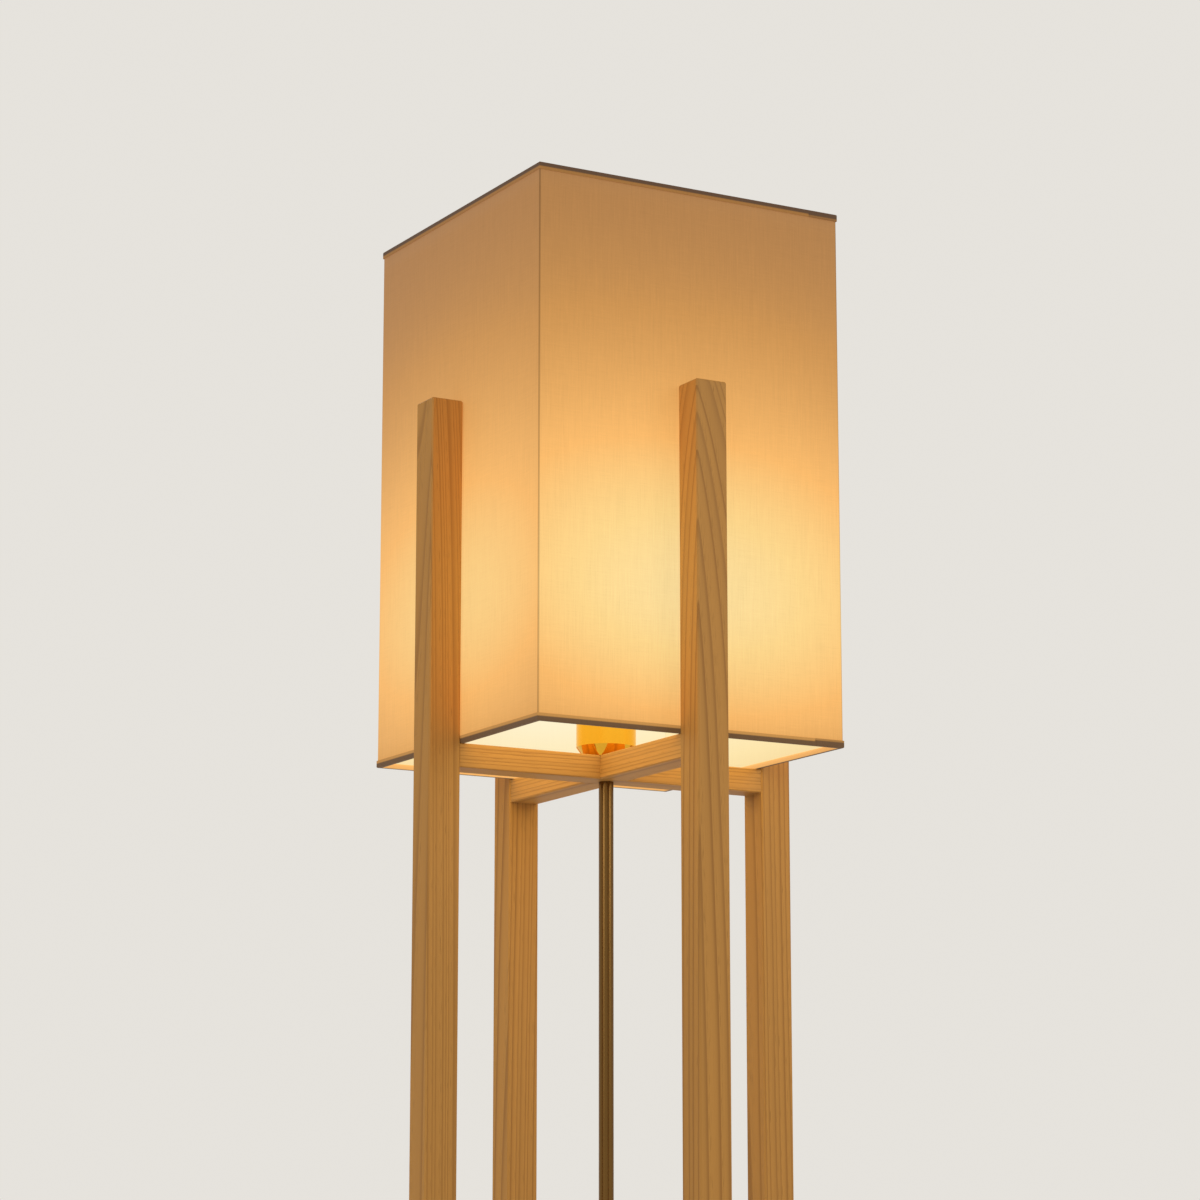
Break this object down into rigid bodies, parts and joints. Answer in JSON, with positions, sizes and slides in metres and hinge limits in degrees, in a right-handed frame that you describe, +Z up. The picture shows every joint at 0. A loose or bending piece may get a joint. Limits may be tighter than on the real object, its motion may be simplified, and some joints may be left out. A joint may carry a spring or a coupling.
{
  "type": "andon floor lamp",
  "caption": "Floor lamp with a tall square fabric shade held between four square wooden posts on cross-lapped rails, with a brass stem and lampholder cup.",
  "frame": {"origin": "centre of the footprint, on the floor", "axes": "+Z up along the stem; X along the side rails, left post at -X; Y along the cross rails, front post at -Y"},
  "size_m": [0.363, 0.363, 1.5],
  "materials": {
    "ash_wood": "pale ash with a satin clear coat",
    "glide_plastic": "moulded dark plastic",
    "zinc_steel": "zinc-plated steel",
    "satin_brass": "satin-brushed brass",
    "contact_brass": "plain brass sheet",
    "porcelain": "white glazed porcelain",
    "cap_metal": "pressed aluminium",
    "black_insulator": "black glassy insulator",
    "bulb_plastic": "white moulded plastic",
    "opal_globe": "opal plastic, lit",
    "shade_backing": "translucent stiff sheet",
    "shade_fabric": "off-white slub weave",
    "binding_fabric": "same cloth, cut on the bias and rolled"
  },
  "bodies": {
    "frame": {"left_post": "ash_wood", "right_post": "ash_wood", "front_post": "ash_wood", "back_post": "ash_wood", "lower_side_rail": "ash_wood", "lower_cross_rail": "ash_wood", "upper_side_rail": "ash_wood", "upper_cross_rail": "ash_wood", "left_glide": "glide_plastic", "right_glide": "glide_plastic", "front_glide": "glide_plastic", "back_glide": "glide_plastic", "cord_bush": "glide_plastic", "glide_nails": "zinc_steel", "lower_washer": "zinc_steel", "lower_nut": "zinc_steel", "cup_nut": "zinc_steel", "holder_bracket": "zinc_steel", "bracket_screws": "zinc_steel", "contact_screws": "zinc_steel", "lower_nipple": "zinc_steel", "upper_nipple": "zinc_steel", "stem_tube": "satin_brass", "lampholder_cup": "satin_brass", "screw_shell": "contact_brass", "centre_contact": "contact_brass", "holder_base": "porcelain", "holder_sleeve": "porcelain"},
    "shade": {"shade_backing": "shade_backing", "shade_fabric": "shade_fabric", "top_ring": "zinc_steel", "bottom_ring": "zinc_steel", "top_binding": "binding_fabric", "bottom_binding": "binding_fabric"},
    "bulb_button": {"bulb_contact": "contact_brass"},
    "bulb": {"bulb_insulator": "black_insulator", "bulb_cap": "cap_metal", "bulb_housing": "bulb_plastic", "bulb_globe": "opal_globe"}
  },
  "joints": [
    {"name": "shade_lift", "type": "slide", "parent": "frame", "child": "shade", "axis": [0, 0, 1], "range_m": [0, 0.33]},
    {"name": "bulb_rise", "type": "slide", "parent": "frame", "child": "bulb_button", "axis": [0, 0, 1], "range_m": [0, 0.0127]},
    {"name": "bulb_turn", "type": "hinge", "parent": "bulb_button", "child": "bulb", "pos_m": [0, 0, 1.0453], "axis": [0, 0, 1], "range_deg": [0, 1260]}
  ],
  "couplings": [
    {"joint": "bulb_turn", "follows": "bulb_rise", "rad_per_m": 1731.4}
  ]
}
